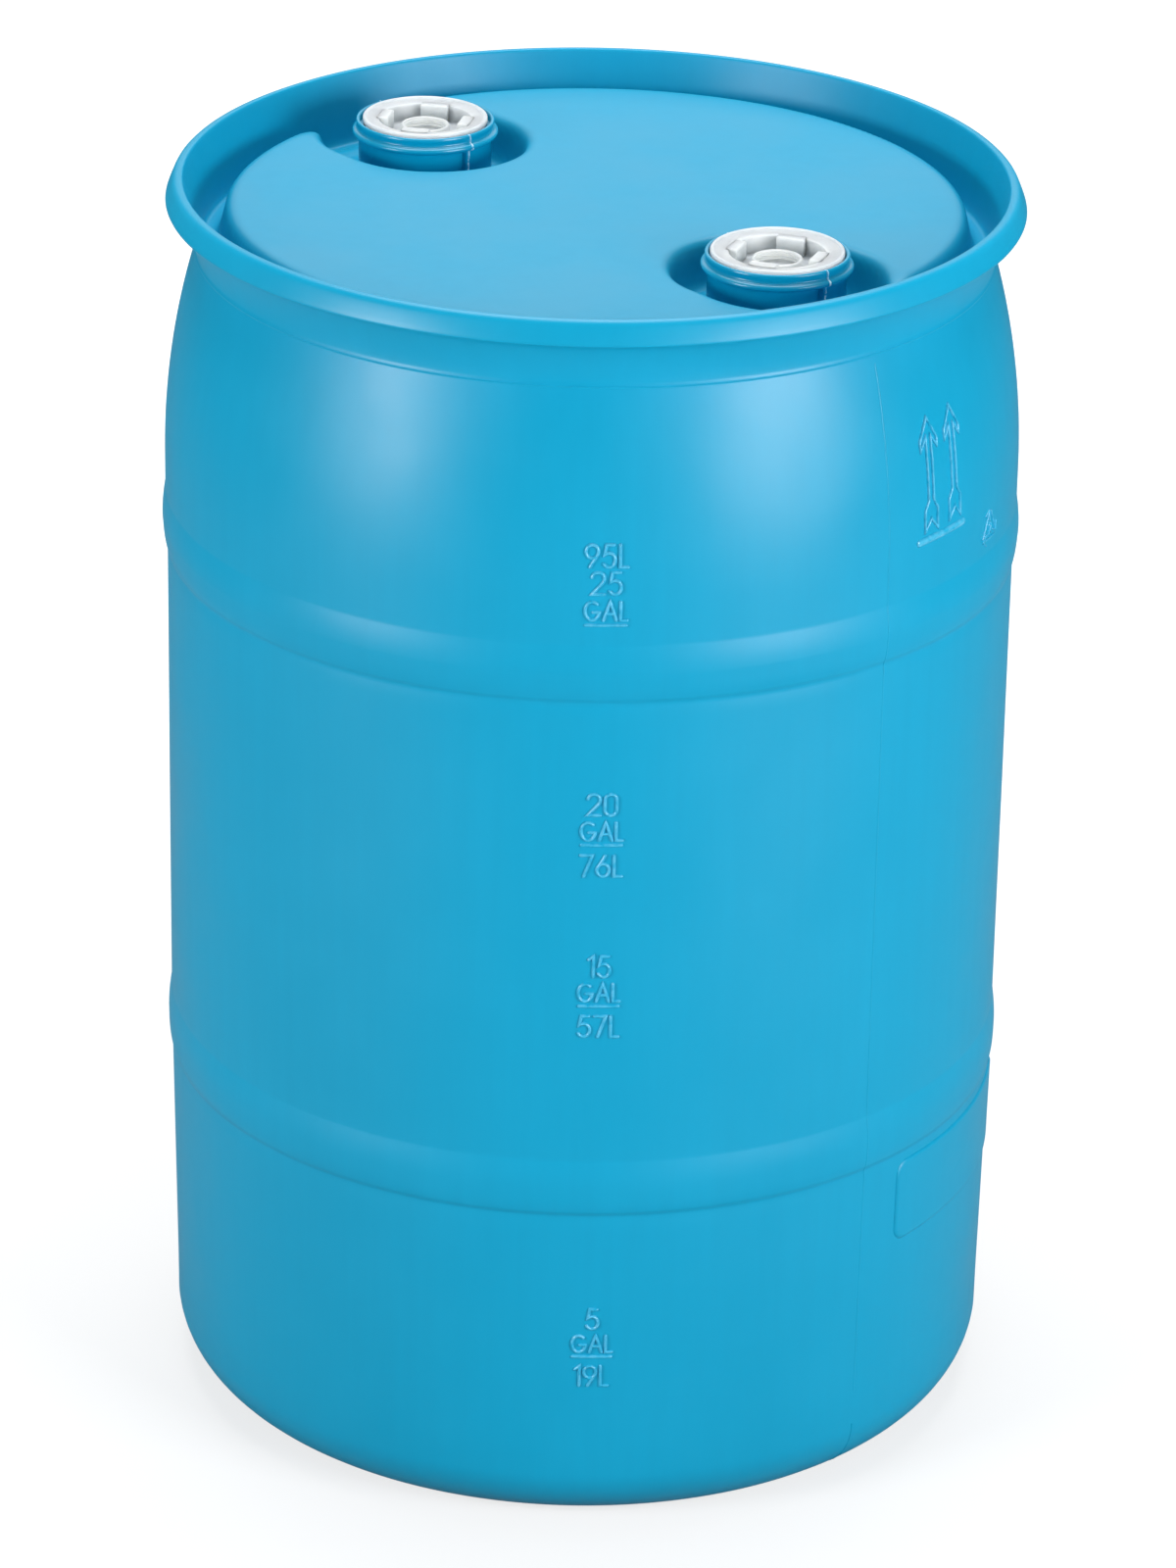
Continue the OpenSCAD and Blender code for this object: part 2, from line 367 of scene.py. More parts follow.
def rib_swell(shell, z, middle):
    """A rolling rib: a soft slope on top, a tight edge below with a shallow crease under it."""
    t = (z - middle) / (shell.rib_width / 2)
    crease = -0.35 * MM * math.exp(-((t + 1.12) / 0.1) ** 2)
    if abs(t) >= 1:
        return crease
    swell = math.cos(math.pi / 2 * t) if t > 0 else (1 - t ** 4) ** 0.75
    return shell.rib_out * swell + crease


def wall_point(shell, azimuth, z, lift=0.0):
    """A point on the side wall, or lift above it."""
    r = side_radius(shell, z)
    r += rib_swell(shell, z, shell.low_rib_z) + rib_swell(shell, z, shell.high_rib_z)
    spot = Vector((math.cos(azimuth) * RIPPLE_ROUND, math.sin(azimuth) * RIPPLE_ROUND,
                   z * RIPPLE_UP))
    r += shell.ripple * noise.noise(spot) + lift
    return (r * math.cos(azimuth), r * math.sin(azimuth), z)


def edge_drop(head, run, depth):
    """Depth below the deck, run metres outward from where the deck's rounding starts."""
    slope = math.sin(head.draft), math.cos(head.draft)
    top_run = head.top_round * slope[0]
    top_drop = head.top_round * (1 - slope[1])
    foot_run = head.foot_round * slope[0]
    straight_drop = depth - top_drop - head.foot_round * (1 - slope[1])
    straight_run = straight_drop / math.tan(head.draft)
    on_top = np.clip(run, 0, top_run)
    on_foot = np.clip(top_run + straight_run + foot_run - run, 0, foot_run)
    top = head.top_round - np.sqrt(head.top_round ** 2 - on_top ** 2)
    foot = depth - head.foot_round + np.sqrt(head.foot_round ** 2 - on_foot ** 2)
    wall = top_drop + (run - top_run) * math.tan(head.draft)
    return np.where(run < top_run, top, np.where(run < top_run + straight_run, wall, foot))


def head_height(head, x, y, inset=0.0):
    """Height of the head's skin over (x, y): deck, perimeter groove and wells."""
    x, y = np.asarray(x, float), np.asarray(y, float)
    depth = top_of("head_deck") - top_of("head_floor")
    out = np.hypot(x, y) - (head.deck_radius - inset)
    neck_at = NECKS["front"].length
    merge = 14 * MM
    for side in (1, -1):
        ux, uy = side * math.cos(PARTING), side * math.sin(PARTING)
        along = np.clip(x * ux + y * uy, neck_at - head.well_in, neck_at + head.well_out)
        well = head.well_radius + inset - np.hypot(x - along * ux, y - along * uy)
        share = np.clip(0.5 + 0.5 * (well - out) / merge, 0, 1)
        out = out + (well - out) * share + merge * share * (1 - share)
    half_wall = depth - (head.top_round + head.foot_round) * (1 - math.cos(head.draft))
    middle = head.top_round * math.sin(head.draft) + half_wall / math.tan(head.draft) / 2
    return top_of("head_deck") - inset - edge_drop(head, out + middle, depth)


def base_profile(shell):
    """Outer profile from the middle of the base up to the side wall."""
    recess = bottom_of("base_panel") / MM
    stand = (shell.foot_radius - shell.corner) / MM
    corner = [(r, z) for r, z in arc(stand, shell.corner / MM, shell.corner / MM, -90, 0, 16)]
    return millimetres((0, recess + 1.6), (60, recess + 1.4), (120, recess + 0.9),
                       (165, recess + 0.3), (178, recess), (181.5, recess - 0.4),
                       (184, recess - 1.9), (185.6, recess - 4.2), (192.6, 3.2),
                       (193.8, 1.4), (195.4, 0.3), (197.2, 0), *corner)


def ring_profile(head):
    """Profile of the L-ring, from the shoulder's crease round the flange to the groove."""
    return millimetres(
        (226.5, 696.4), (226.0, 697.2), (225.9, 699), (226.3, 703), (227.3, 708), (229.0, 713.5),
        (231.0, 718), (232.6, 720.8), (234.4, 722.6), (236.6, 723.7), (239, 724.2),
        (241.2, 724.3), (242.1, 724.6), (242.5, 725.4), (242.3, 726.4), (241.4, 729),
        (240.2, 732), (239.1, 734.6), (238.3, 736.1), (237.2, 737.2), (235.8, 737.85),
        (234.6, 738), (233.5, 738), (head.lip_radius / MM, 737.5), (232.5, 736.2), (231.8, 733),
        (231.1, 730), (230.2, 726.4), (228.9, 721), (227.5, 715), (226.2, 709), (225.1, 703.6),
        (224.5, 700.8), (223.8, 698.7), (222.9, 697.4))


def head_sheet(head, edge_r, patch_r):
    """Points and triangles, seen from above, of the head outside the two neck patches."""
    points, edges = [], []

    def circle(cx, cy, r, count, shift=0.0):
        return [Vector((cx + r * math.cos(shift + 2 * math.pi * j / count),
                        cy + r * math.sin(shift + 2 * math.pi * j / count)))
                for j in range(count)]

    def loop(ring):
        first = len(points)
        points.extend(ring)
        edges.extend((first + j, first + (j + 1) % len(ring)) for j in range(len(ring)))

    loop(circle(0, 0, edge_r, AROUND))
    for centre in NECKS.values():
        loop(circle(centre.x, centre.y, patch_r, NECK_AROUND, PARTING))
    fine, coarse, fine_from = 1.6 * MM, 7 * MM, 196 * MM
    rings = []
    r = edge_r - fine
    while r > 0:
        count = AROUND if r > fine_from else max(6, int(2 * math.pi * r / coarse))
        rings.append(circle(0, 0, r, count, shift=len(rings) * math.pi / count))
        r -= fine if r > fine_from else coarse
    clear = patch_r + 1.2 * MM
    for ring in rings:
        points.extend(p for p in ring if all((p - c).length > clear for c in NECKS.values()))
    flat, _, triangles, *_ = delaunay_2d_cdt(points, edges, [], 0, 1e-7)
    kept = []
    for face in triangles:
        middle = sum((flat[i] for i in face), Vector((0, 0))) / len(face)
        if all((middle - c).length > patch_r * 0.9997 for c in NECKS.values()):
            kept.append(list(face))
    return flat, kept


# Thread forms list (share of the pitch, share of the depth)
NECK_FORM = [(0, 0), (0.1, 1), (0.32, 1), (0.42, 0), (0.71, 0)]   # ridges point into the bore
PLUG_FORM = [(0, 0), (0.21, 0), (0.47, 0), (0.57, 1), (0.84, 1), (0.94, 0)]
INCH_FORM = [(0, 0), (0.35, 1), (0.5, 1), (0.85, 0)]
INCH_PITCH = 25.4 * MM / 14
THREAD_DEPTH = {"front": 1.9 * MM, "rear": 1.2 * MM}
THREAD_GAP = 0.3 * MM
KNOCK_HEIGHT = 6 * MM                                    # collar above the cup's floor
SHANK_RADIUS = {"front": 30.7 * MM, "rear": 29.7 * MM}   # a plug's skirt at the thread's roots
SLOT_COLUMNS = (2, 3, 4)   # columns of a neck, counted back from its flash, that the slot takes


def bore_radius(side):
    """Radius of the thread's crests in a neck."""
    return SHANK_RADIUS[side] + THREAD_GAP


def pitch_of(side):
    plugs = bpy.context.scene.drum_plugs
    return plugs.front_pitch if side == "front" else plugs.rear_pitch


def neck_rings(head, side, centre):
    """Outside of a neck from its gasket seat over the lip and bead down to the well floor."""
    seat = bottom_of(side + "_gasket")
    floor_z = top_of("head_floor")
    root = bore_radius(side) + THREAD_DEPTH[side]
    step = [(r * MM, seat + z * MM) for r, z in
            ((37.3, 0), (37.8, 0.4), (37.85, 4.2), (38.2, 4.75), (38.9, 5), (39.5, 4.85),
             (39.95, 4.2), (39.9, 3), (39.5, 1.7), (39.3, 0.7), (39.6, -0.1), (40.6, -0.6),
             (41.5, -1), (42.05, -1.7), (42.2, -2.6), (41.95, -3.4), (41.2, -4), (40, -4.35),
             (39, -4.7), (38.6, -5.4), (38.5, -6.6), (38.5, -14), (38.5, -22), (38.5, -27))]
    foot = [(r * MM, floor_z + z * MM) for r, z in ((38.6, 3.6), (39.1, 1.8), (40.2, 0.6))]
    rings = turned([(root, seat)] + step + foot, NECK_AROUND, centre, PARTING)
    slot_top, slot_low = seat - 5.5 * MM, NECK_FOOT
    for ring in rings:
        for turn in (0, 180):
            for step_back in SLOT_COLUMNS:
                j = (turn * NECK_AROUND // 360 - step_back) % NECK_AROUND
                x, y, z = ring[j]
                if slot_low < z < slot_top:
                    out = Vector((x - centre[0], y - centre[1])).normalized() * head.slot_depth
                    ring[j] = (x - out.x, y - out.y, z)
    return rings


def patch_rings(head, centre, radii, inset=0.0):
    """Rings of the head's skin round a neck."""
    rings = []
    for r in radii:
        ring = turned([(r, 0)], NECK_AROUND, centre, PARTING)[0]
        heights = head_height(head, [p[0] for p in ring], [p[1] for p in ring], inset)
        rings.append([(p[0], p[1], float(z)) for p, z in zip(ring, heights)])
    return rings


def wall_heights(shell):
    """Heights of the side wall's rings, closer together at the ribs."""
    z = top_of("base_corner")
    while z < top_of("head_floor") - 2 * MM:
        yield z
        near = min(abs(z - shell.low_rib_z), abs(z - shell.high_rib_z)) < 21 * MM
        z += 1 * MM if near else 4 * MM
    yield top_of("head_floor") - 1.4 * MM


def add_walls(skin, shell, head):
    """The shell's outside from the base round the L-ring to the groove, and its inside."""
    floor_z, head_r = top_of("head_floor"), radius_of("head_floor")
    turns = [2 * math.pi * j / AROUND for j in range(AROUND)]
    side = [[wall_point(shell, a, z) for a in turns] for z in wall_heights(shell)]
    ring = turned(ring_profile(head) + [(head_r, floor_z)], AROUND)
    skin.rings(turned(base_profile(shell), AROUND)[:-1] + side + ring)

    inner_base = [(r, z + shell.wall) for r, z in millimetres((0, 19.6), (120, 18.6), (178, 18))]
    foot = millimetres((186, 19), (197, 4.2))
    inner_corner = arc(shell.foot_radius - shell.corner, shell.corner,
                       shell.corner - shell.wall, -90, 0, 10)
    inner_side = [(side_radius(shell, z) - shell.wall, z) for z in wall_heights(shell)
                  if z < floor_z - 9 * MM]
    under = floor_z - shell.wall
    inner_top = [(head_r, under - 1.5 * MM), (head_r, under)]
    skin.rings(turned(inner_base + foot + inner_corner + inner_side + inner_top, AROUND))


def add_head(skin, shell, head):
    """Both faces of the head, outside the two neck patches."""
    flat, triangles = head_sheet(head, radius_of("head_floor"), PATCH_RADIUS)
    for inset in (0.0, shell.wall):
        z = head_height(head, [p.x for p in flat], [p.y for p in flat], inset)
        skin.add([(p.x, p.y, float(h)) for p, h in zip(flat, z)], triangles)


def add_neck(skin, shell, head, side, centre):
    """A neck with the head's skin round it, inside and out, and the thread in its bore."""
    root = bore_radius(side) + THREAD_DEPTH[side]
    foot = 42 * MM
    outer = [foot + (PATCH_RADIUS - foot) * k / 22 for k in range(23)]
    skin.rings(neck_rings(head, side, centre) + patch_rings(head, centre, outer))
    inner = [root + (PATCH_RADIUS - root) * k / 14 for k in range(15)]
    skin.rings(patch_rings(head, centre, inner, shell.wall))
    points, faces = thread(top_of("head_floor") - shell.wall, bottom_of(side + "_gasket"),
                           pitch_of(side), root, bore_radius(side), NECK_FORM, PARTING)
    skin.add(moved(points, centre.x, centre.y), faces)


def shell_skin(shell, head):
    """The whole shell as one closed skin, outside and inside."""
    skin = Skin()
    add_walls(skin, shell, head)
    add_head(skin, shell, head)
    for side, centre in NECKS.items():
        add_neck(skin, shell, head, side, centre)
    return skin


# Raised strokes ------------------------------------------------------------------------------


def resampled(path, closed, spacing=1.5 * MM):
    """The path with points no further apart than spacing; corners stay."""
    ends = list(zip(path, path[1:] + path[:1])) if closed else list(zip(path, path[1:]))
    points = []
    for (ax, ay), (bx, by) in ends:
        count = max(1, math.ceil(math.hypot(bx - ax, by - ay) / spacing))
        points += [(ax + (bx - ax) * k / count, ay + (by - ay) * k / count)
                   for k in range(count)]
    return points if closed else points + [path[-1]]


# A stroke's rounded section: (share of half its width, share of its height)
STROKE_SECTION = [(-1, -0.3), (-0.9, 0.25), (-0.65, 0.68), (-0.3, 0.93), (0, 1), (0.3, 0.93),
                  (0.65, 0.68), (0.9, 0.25), (1, -0.3)]


def raise_stroke(skin, place, path, width, height, closed=False):
    """A rounded ridge along a path on a surface. place(u, v, lift) gives the point in space."""
    path = resampled(path, closed)
    n = len(path)
    rows = []
    for i, (u, v) in enumerate(path):
        before = path[i - 1] if closed or i else path[0]
        after = path[(i + 1) % n] if closed or i < n - 1 else path[-1]
        a = Vector((u - before[0], v - before[1]))
        b = Vector((after[0] - u, after[1] - v))
        a, b = (a if a.length else b).normalized(), (b if b.length else a).normalized()
        along = (a + b).normalized() if (a + b).length > 0.1 else a
        side = Vector((-along.y, along.x)) / max(0.45, along.dot(a))
        steps = [(0, 1)]
        if not closed and i == 0:
            steps = [(-1, 0.05), (-0.75, 0.66), (-0.3, 0.95)] + steps
        elif not closed and i == n - 1:
            steps += [(0.3, 0.95), (0.75, 0.66), (1, 0.05)]
        for push, scale in steps:
            cu, cv = u + along.x * push * width / 2, v + along.y * push * width / 2
            rows.append([place(cu + side.x * t * scale * width / 2,
                               cv + side.y * t * scale * width / 2,
                               height * (h if h < 0 else h * scale))
                         for t, h in STROKE_SECTION])
    skin.bar(rows, closed)


def ellipse(cx, cy, rx, ry, start, end, steps=14):
    """Points of an elliptic arc in a figure; degrees, counter-clockwise from +u."""
    turns = [math.radians(start + (end - start) * k / steps) for k in range(steps + 1)]
    return [(cx + rx * math.cos(a), cy + ry * math.sin(a)) for a in turns]


# Figures as strokes in a box one high: (width, [(closed, path), ...])
FIGURES = {
    "0": (0.52, [(True, ellipse(0.26, 0.74, 0.26, 0.26, 0, 180)
                  + ellipse(0.26, 0.26, 0.26, 0.26, 180, 360))]),
    "1": (0.2, [(False, [(0, 0.84), (0.2, 1), (0.2, 0)])]),
    "2": (0.54, [(False, ellipse(0.27, 0.72, 0.27, 0.28, 170, -38) + [(0, 0), (0.54, 0)])]),
    "5": (0.52, [(False, [(0.46, 1), (0.14, 1), (0.06, 0.56)]
                  + ellipse(0.25, 0.32, 0.27, 0.32, 118, -150))]),
    "6": (0.54, [(True, ellipse(0.27, 0.3, 0.27, 0.3, 0, 360, 22)[:-1]),
                 (False, [(0.04, 0.44), (0.36, 1)])]),
    "7": (0.5, [(False, [(0, 1), (0.5, 1), (0.14, 0)])]),
    "9": (0.54, [(True, ellipse(0.27, 0.7, 0.27, 0.3, 0, 360, 22)[:-1]),
                 (False, [(0.5, 0.56), (0.18, 0)])]),
    "G": (0.74, [(False, ellipse(0.37, 0.5, 0.37, 0.5, 48, 352, 22) + [(0.42, 0.44)])]),
    "A": (0.66, [(False, [(0, 0), (0.33, 1), (0.66, 0)]), (False, [(0.13, 0.36), (0.53, 0.36)])]),
    "L": (0.34, [(False, [(0, 1), (0, 0), (0.34, 0)])]),
}
FIGURE_GAP = 0.21


def write_figures(skin, place, figures, middle, base, height, width, relief):
    """Raises a short row of figures centred on middle, standing on base."""
    total = sum(FIGURES[f][0] for f in figures) + FIGURE_GAP * (len(figures) - 1)
    left = middle - total * height / 2
    for f in figures:
        for closed, path in FIGURES[f][1]:
            placed = [(left + x * height, base + y * height) for x, y in path]
            raise_stroke(skin, place, placed, width, relief, closed)
        left += (FIGURES[f][0] + FIGURE_GAP) * height


# Level marks: (height of the line in mm, gallons, litres, litres stand above the gallons)
LEVELS = ((566, "25", "95L", True), (435, "20", "76L", False),
          (337, "15", "57L", False), (115, "5", "19L", False))


def marks_on_wall(shell, azimuth):
    """place(u, v, lift) for a raised mark: u runs round the wall from azimuth, v is the height."""
    def place(u, v, lift):
        return wall_point(shell, azimuth + u / shell.upper_radius, v, lift)
    return place


def arrow_outline(tip_u, tip_v):
    """Outline of an upright arrow with a notched tail, from its tip."""
    half = [(0, 0), (7.6, -12.4), (7.2, -17.2), (2.2, -10.4), (2.2, -47), (5.6, -52), (5.6, -64),
            (0, -57.5)]
    right = [(tip_u + x * MM, tip_v + y * MM) for x, y in half]
    left = [(tip_u - x * MM, tip_v + y * MM) for x, y in half[-2:0:-1]]
    return right + left


def upright_arrows(skin, place, marks):
    """Two arrows side by side over the line that stands for the ground."""
    for tip_u, tip_v in ((-10.5 * MM, 654 * MM), (12 * MM, 655 * MM)):
        raise_stroke(skin, place, arrow_outline(tip_u, tip_v), marks.stroke * 0.9, marks.relief,
                     closed=True)
    ground = [(-21 * MM, 584.5 * MM), (21 * MM, 585 * MM)]
    raise_stroke(skin, place, ground, 4.6 * MM, marks.relief)


def recycling_loop(skin, place, middle_v, reach, pen):
    """Three arrows chasing each other round a triangle, with the digit for HDPE inside."""
    for k in range(3):
        here, there = math.radians(90 - 120 * k), math.radians(-30 - 120 * k)
        start = Vector((math.cos(here), math.sin(here))) * reach
        run = Vector((math.cos(there), math.sin(there))) * reach - start
        side = Vector((-run.y, run.x)).normalized() * reach
        tip = start + run * 0.9
        lift = Vector((0, middle_v))
        for path in ((start + run * 0.12, tip), (tip - run * 0.2 + side * 0.25, tip),
                     (tip - run * 0.2 - side * 0.25, tip)):
            raise_stroke(skin, place, [tuple(p + lift) for p in path], *pen)
    write_figures(skin, place, "2", 0, middle_v - reach * 0.28, reach * 0.56, *pen)


def raised_pad(skin, place, relief):
    """A flat pad with rounded corners and a bevelled edge, standing out of the wall."""
    middle_v, half_u, half_v = 174 * MM, 82 * MM, 26 * MM
    corner, bevel = 9 * MM, 1.6 * MM
    outline = []
    for cu, cv, turn in ((1, 1, 0), (-1, 1, 90), (-1, -1, 180), (1, -1, 270)):
        outline += ellipse(cu * (half_u - corner), cv * (half_v - corner), corner, corner,
                           turn, turn + 90, 8)
    outline = resampled(outline, True, 4 * MM)

    def shrunk(inset, lift, share=1.0):
        return [place(u * (1 - inset / half_u) * share,
                      middle_v + v * (1 - inset / half_v) * share, lift) for u, v in outline]

    steps = 8
    under = [shrunk(0, -0.3 * MM, k / steps) for k in range(steps + 1)]
    edge = [shrunk(bevel * k, relief * h) for k, h in ((0.1, 0.1), (0.5, 0.6), (1, 0.95))]
    over = [shrunk(bevel * 1.5, relief, 1 - k / steps) for k in range(steps + 1)]
    skin.rings(under + edge + over)


# What the mould leaves -----------------------------------------------------------------------


def parting_line(skin, shell, marks, azimuth):
    """A fine ridge up the side wall, where the mould's halves meet."""
    low, high = top_of("base_corner") + 1 * MM, top_of("head_floor") - 6 * MM
    raise_stroke(skin, marks_on_wall(shell, azimuth), [(0, low), (0, high)], 0.9 * MM,
                 marks.flash)


def base_seam(skin, shell, azimuth):
    """The pinched seam from the middle of the base to the wall, tall in the recess and low
    round the corner, with nothing on the ring that the drum stands on."""
    base = base_profile(shell)
    ux, uy = math.cos(azimuth), math.sin(azimuth)
    rows = []
    for i in range(len(base) * 4 - 4):
        k, share = divmod(i, 4)
        (ra, za), (rb, zb) = base[k], base[k + 1]
        r, z = ra + (rb - ra) * share / 4, za + (zb - za) * share / 4
        normal = Vector((zb - za, ra - rb)).normalized()
        inside = 1 if r < 150 * MM else max(0.2, 1 - (r - 150 * MM) / (60 * MM))
        on_ground = z <= 3 * MM and r <= 215 * MM
        tall = 1.5 * MM * inside * (0.8 + 0.3 * noise.noise(Vector((r * 140, 3, 0))))
        tall = 0 if on_ground else tall
        wide = (1.5 * inside + 0.35) * MM
        row = []
        for side, lift in ((-1, -0.4 * MM), (-0.5, tall * 0.9), (0, tall), (0.5, tall * 0.9),
                           (1, -0.4 * MM)):
            pr, pz = r + normal.x * lift, z + normal.y * lift
            row.append((pr * ux - side * wide * uy, pr * uy + side * wide * ux, pz))
        rows.append(row)
    skin.bar(rows)


def neck_flash(skin, head, side, centre, azimuth):
    """The ragged fin down one side of a neck, over the bead and along the slot."""
    column = PARTING_SIDES.index(azimuth) * NECK_AROUND // 2
    along = [Vector(ring[column]) for ring in neck_rings(head, side, centre)[4:25]]
    out = Vector((math.cos(azimuth), math.sin(azimuth), 0))
    across = Vector((-out.y, out.x, 0))
    rows = []
    for i in range((len(along) - 1) * 5):
        k, share = divmod(i, 5)
        at = along[k].lerp(along[k + 1], share / 5)
        ragged = noise.noise(Vector((at.z * 420, azimuth, centre.x * 9)))
        sway = noise.noise(Vector((at.z * 160, 7, azimuth))) * 1.1 * MM
        tall = (0.95 + 0.75 * ragged) * MM
        rows.append([tuple(at + across * (sway + t * 0.5 * MM) + out * lift)
                     for t, lift in ((-1, -0.5 * MM), (-0.5, tall * 0.8), (0.1, tall),
                                     (0.6, tall * 0.7), (1, -0.5 * MM))])
    skin.bar(rows)


# Plugs and gaskets ---------------------------------------------------------------------------


def plug_profiles(plugs, side):
    """Profiles of a plug: under its web and skirt, over its flange into the cup up to the
    knock-out collar, and the bed inside the collar."""
    top = top_of(side + "_plug") / MM
    seat = top_of(side + "_gasket") / MM
    foot = bottom_of(side + "_plug") / MM
    flange = radius_of(side + "_plug") / MM
    shank = SHANK_RADIUS[side] / MM
    cup, skirt = plugs.cup_radius / MM, shank - plugs.skirt / MM
    floor_z = top - plugs.cup_depth / MM
    web = floor_z - plugs.web / MM
    knock = plugs.knock_radius / MM
    knock_top = floor_z + KNOCK_HEIGHT / MM
    under = millimetres(
        (0, web), (skirt - 2, web), (skirt - 0.6, web - 0.5), (skirt, web - 1.8),
        (skirt + 0.3, foot + 1), (skirt + 0.8, foot), (shank - 1, foot), (shank, foot + 0.9))
    over = millimetres(
        (shank, seat), (flange - 0.7, seat), (flange - 0.2, seat + 0.25), (flange, seat + 0.8),
        (flange, top - 0.9), (flange - 0.25, top - 0.35), (flange - 0.8, top),
        (flange - 1.5, top), (flange - 2, top - 0.25), (flange - 2.4, top - 0.9),
        (flange - 3.1, top - 1.15), (cup + 3, top - 1.45), (cup + 1, top - 1.6),
        (cup + 0.3, top - 2), (cup, top - 2.8), (cup - 0.25, floor_z + 1.4),
        (cup - 0.7, floor_z + 0.4), (cup - 1.8, floor_z), (knock + 3.2, floor_z),
        (knock + 2.4, floor_z + 0.5), (knock + 2.2, floor_z + 1.4), (knock + 2, knock_top - 0.9),
        (knock + 1.6, knock_top - 0.2), (knock + 0.9, knock_top), (knock + 0.75, knock_top - 0.3))
    bed = millimetres(
        (knock + 0.75, floor_z + 0.4), (knock - 0.2, floor_z - 0.4), (knock - 0.8, floor_z - 0.9),
        (knock - 1.4, floor_z - 0.4), (0, floor_z - 0.2))
    return under, over, bed


def plug_skin(plugs, side, centre):
    """A screw plug: threaded skirt, flange with a raised rim, cup, knock-out collar and lugs."""
    under, over, bed = plug_profiles(plugs, side)
    shank, low = under[-1]
    high = bottom_of(side + "_gasket") - 0.4 * MM
    neck = [(shank, high), over[0]]
    skin = Skin()
    for profile in (under, over, bed, neck):
        skin.rings(turned(profile, NECK_AROUND, centre, PARTING))
    # The thread is in step with the neck's, whose form starts at the underside of the head
    pitch = pitch_of(side)
    shift = ((bottom_of("head_floor") - low) / pitch) % 1
    form = sorted(((phase + shift) % 1, depth) for phase, depth in PLUG_FORM)
    crest = shank + THREAD_DEPTH[side] - 0.1 * MM
    collar, collar_top = over[-1]
    for points, faces in (
            thread(low, high, pitch, shank, crest, form, PARTING),
            thread(bed[0][1], collar_top, INCH_PITCH, collar, plugs.knock_radius, INCH_FORM,
                   PARTING, fade=0.8 * MM)):
        skin.add(moved(points, centre.x, centre.y), faces)
    add_lugs(plugs, side, centre, skin)
    return skin


def add_lugs(plugs, side, centre, skin):
    """Wrench lugs: blocks with rounded edges that stand on the cup's floor against its wall."""
    top = top_of(side + "_plug")
    first = plugs.front_turn if side == "front" else plugs.rear_turn
    reach = (plugs.lug_reach, plugs.cup_radius + 1 * MM)
    rise = (top - plugs.cup_depth - 0.5 * MM, top - 1 * MM)
    for k in range(plugs.lug_count):
        form = bmesh.new()
        bmesh.ops.create_cube(form, size=1)
        size = Matrix.Diagonal((reach[1] - reach[0], plugs.lug_width, rise[1] - rise[0], 1))
        middle = Matrix.Translation(((reach[0] + reach[1]) / 2, 0, (rise[0] + rise[1]) / 2))
        turn = Matrix.Rotation(first + k * 2 * math.pi / plugs.lug_count, 4, "Z")
        at_neck = Matrix.Translation((centre.x, centre.y, 0))
        form.transform(middle @ size)
        bmesh.ops.bevel(form, geom=form.edges[:] + form.verts[:], offset=0.9 * MM, segments=3,
                        profile=0.5, affect="EDGES")
        form.transform(at_neck @ turn)
        form.verts.ensure_lookup_table()
        skin.add([tuple(v.co) for v in form.verts],
                 [[v.index for v in f.verts] for f in form.faces])
        form.free()


def gasket_section(side):
    """A flat ring's closed section with its edges rounded."""
    low, high = bottom_of(side + "_gasket") / MM, top_of(side + "_gasket") / MM
    outer, inner = radius_of(side + "_gasket") / MM, bore_radius(side) / MM
    return millimetres(
        (inner, low + 0.4), (inner, high - 0.4), (inner + 0.3, high - 0.1), (inner + 0.8, high),
        (outer - 0.8, high), (outer - 0.3, high - 0.1), (outer, high - 0.5), (outer, low + 0.5),
        (outer - 0.3, low + 0.1), (outer - 0.8, low), (inner + 0.8, low), (inner + 0.3, low + 0.1),
        (inner, low + 0.4))


# Materials -----------------------------------------------------------------------------------


def add_node(tree, kind, settings=None, links=None):
    """Adds a node, sets its values, inputs or colour stops, and links its inputs."""
    node = tree.nodes.new(kind)
    for key, value in (settings or {}).items():
        if key == "Stops":
            for stop, (position, shade) in zip(node.color_ramp.elements, value):
                stop.position, stop.color = position, shade
        elif isinstance(key, int) or key in node.inputs:
            node.inputs[key].default_value = value
        else:
            setattr(node, key, value)
    for key, (source, output) in (links or {}).items():
        tree.links.new(source.outputs[output], node.inputs[key])
    return node


def new_material(name):
    """An empty material with its output, and its node tree."""
    material = bpy.data.materials.new(name)
    material.use_nodes = True
    tree = material.node_tree
    tree.nodes.clear()
    return material, tree


def tinted(base, factor):
    return (*(min(1.0, c * factor) for c in base), 1.0)


def per_metre(size_mm):
    """Noise scale whose features are about size_mm across."""
    return 1000 / size_mm


